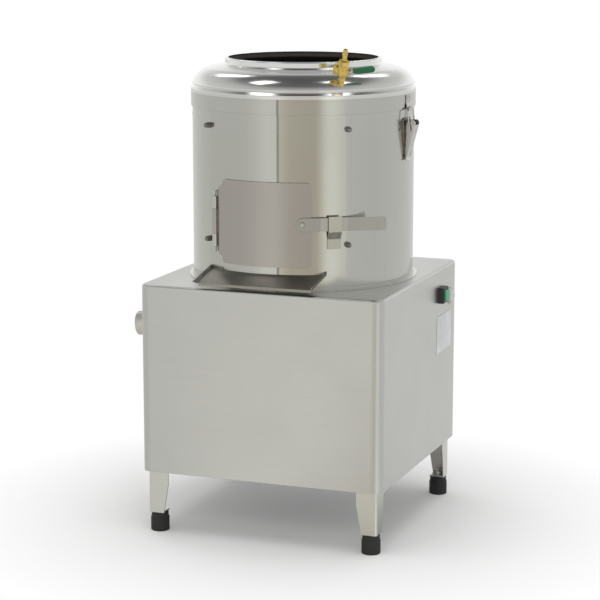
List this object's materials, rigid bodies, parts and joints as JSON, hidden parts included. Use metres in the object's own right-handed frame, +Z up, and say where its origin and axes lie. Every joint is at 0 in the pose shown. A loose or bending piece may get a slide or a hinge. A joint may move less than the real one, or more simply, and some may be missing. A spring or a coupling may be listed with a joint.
{
  "type": "electric potato peeler",
  "caption": "Free-standing drum potato peeler with polished lift-off hood, abrasive turntable, door with latch bar, discharge chute and water valve on a square steel cabinet with rubber feet",
  "frame": {"origin": "on the floor under the middle of the outer box", "axes": "+Z up, -Y front with door and chute, +X right with switches"},
  "size_m": [0.572, 0.5152, 0.9447],
  "materials": {
    "stainless_brushed": "brushed",
    "stainless_satin": "satin",
    "stainless_polished": "polished",
    "zinc_steel": "zinc plated",
    "dark_steel": "machined",
    "galvanised": "galvanised",
    "aluminium_cast": "cast",
    "motor_paint": "painted",
    "cast_pulley": "machined",
    "brass_valve": "satin",
    "rubber_black": "matt",
    "rubber_grey": "matt",
    "belt_rubber": "matt",
    "abrasive_grit": "gritty",
    "plastic_black": "fine texture",
    "plastic_green": "gloss",
    "grip_green": "soft",
    "plastic_grey": "gloss",
    "label_pale": "satin film"
  },
  "bodies": {
    "machine": {"housing_shell": "stainless_brushed", "rear_panel": "stainless_brushed", "rear_panel_screws": "zinc_steel", "cabinet_legs": "stainless_brushed", "rubber_feet": "rubber_black", "foot_bolts": "zinc_steel", "drive_plate": "galvanised", "spindle_housing": "aluminium_cast", "housing_bolts": "zinc_steel", "spindle_bearings": "dark_steel", "shaft_seal": "rubber_black", "motor_body": "motor_paint", "motor_bolts": "zinc_steel", "drive_belt": "belt_rubber", "drum_shell": "stainless_satin", "drum_base_ring": "stainless_satin", "drum_pan": "stainless_satin", "pan_skirt": "stainless_satin", "liner_panels": "abrasive_grit", "liner_clamp_bars": "stainless_satin", "liner_bolts": "zinc_steel", "hood_seal": "rubber_grey", "drain_pipe": "stainless_satin", "discharge_chute": "stainless_brushed", "door_catch": "stainless_satin", "hinge_knuckles": "stainless_satin", "hinge_pin": "zinc_steel", "toggle_bases": "stainless_satin", "toggle_pins": "zinc_steel", "switch_housing": "plastic_black", "stop_switch_body": "plastic_grey", "label_plate": "label_pale", "cable_gland": "plastic_black"},
    "spindle_set": {"spindle": "dark_steel", "spindle_pulley": "cast_pulley", "turntable": "aluminium_cast", "abrasive_disc": "abrasive_grit", "turntable_nut": "stainless_polished"},
    "motor_set": {"motor_shaft": "dark_steel", "motor_pulley": "cast_pulley"},
    "door": {"door_plate": "stainless_satin", "door_gasket": "rubber_grey", "door_liner": "abrasive_grit", "latch_rivet": "zinc_steel"},
    "latch": {"latch_bar": "stainless_satin"},
    "hood_set": {"hood": "stainless_polished", "hood_band": "stainless_satin", "hood_keepers": "stainless_polished", "hood_rivets": "zinc_steel", "valve_body": "brass_valve"},
    "valve_handle": {"valve_lever": "zinc_steel", "valve_grip": "grip_green"},
    "lever_right": {"toggle_lever_right": "stainless_polished"},
    "lever_left": {"toggle_lever_left": "stainless_polished"},
    "bail_right": {"toggle_bail_right": "zinc_steel"},
    "bail_left": {"toggle_bail_left": "zinc_steel"},
    "start": {"start_button": "plastic_green"},
    "stop": {"stop_button": "plastic_grey"}
  },
  "joints": [
    {"name": "turntable_spin", "type": "hinge", "parent": "machine", "child": "spindle_set", "pos_m": [0.02705, -0.0106, 0.508], "axis": [0, 0, 1], "continuous": true},
    {"name": "motor_spin", "type": "hinge", "parent": "machine", "child": "motor_set", "pos_m": [0.17205, 0.0494, 0.145], "axis": [0, 0, 1], "continuous": true},
    {"name": "door_swing", "type": "hinge", "parent": "machine", "child": "door", "pos_m": [-0.08039, -0.20442, 0.6142], "axis": [0, 0, -1], "range_deg": [0, 120]},
    {"name": "latch_lift", "type": "hinge", "parent": "door", "child": "latch", "pos_m": [0.10184, -0.21835, 0.618], "axis": [0.3387, -0.9409, 0], "range_deg": [0, 30]},
    {"name": "hood_lift", "type": "slide", "parent": "machine", "child": "hood_set", "axis": [0, 0, 1], "range_m": [0, 0.14]},
    {"name": "valve_turn", "type": "hinge", "parent": "hood_set", "child": "valve_handle", "pos_m": [0.17967, -0.17656, 0.90145], "axis": [0.9761, 0.1111, -0.1867], "range_deg": [0, 90]},
    {"name": "start_press", "type": "slide", "parent": "machine", "child": "start", "axis": [-1, 0, 0], "range_m": [0, 0.003], "stiffness_N_per_m": 400},
    {"name": "stop_press", "type": "slide", "parent": "machine", "child": "stop", "axis": [-1, 0, 0], "range_m": [0, 0.003], "stiffness_N_per_m": 400},
    {"name": "toggle_right", "type": "hinge", "parent": "machine", "child": "lever_right", "pos_m": [0.25748, -0.02671, 0.795], "axis": [-0.0698, -0.9976, 0], "range_deg": [0, 110]},
    {"name": "bail_swing_right", "type": "hinge", "parent": "lever_right", "child": "bail_right", "pos_m": [0.25549, -0.02657, 0.781], "axis": [-0.0698, -0.9976, 0], "range_deg": [-143, 0]},
    {"name": "toggle_left", "type": "hinge", "parent": "machine", "child": "lever_left", "pos_m": [-0.20339, 0.00551, 0.795], "axis": [0.0698, 0.9976, 0], "range_deg": [0, 110]},
    {"name": "bail_swing_left", "type": "hinge", "parent": "lever_left", "child": "bail_left", "pos_m": [-0.2014, 0.00537, 0.781], "axis": [0.0698, 0.9976, 0], "range_deg": [-143, 0]}
  ],
  "couplings": [
    {"joint": "motor_spin", "follows": "turntable_spin", "ratio": 4.7671},
    {"joint": "bail_swing_right", "follows": "toggle_right", "ratio": -1.3},
    {"joint": "bail_swing_left", "follows": "toggle_left", "ratio": -1.3}
  ]
}
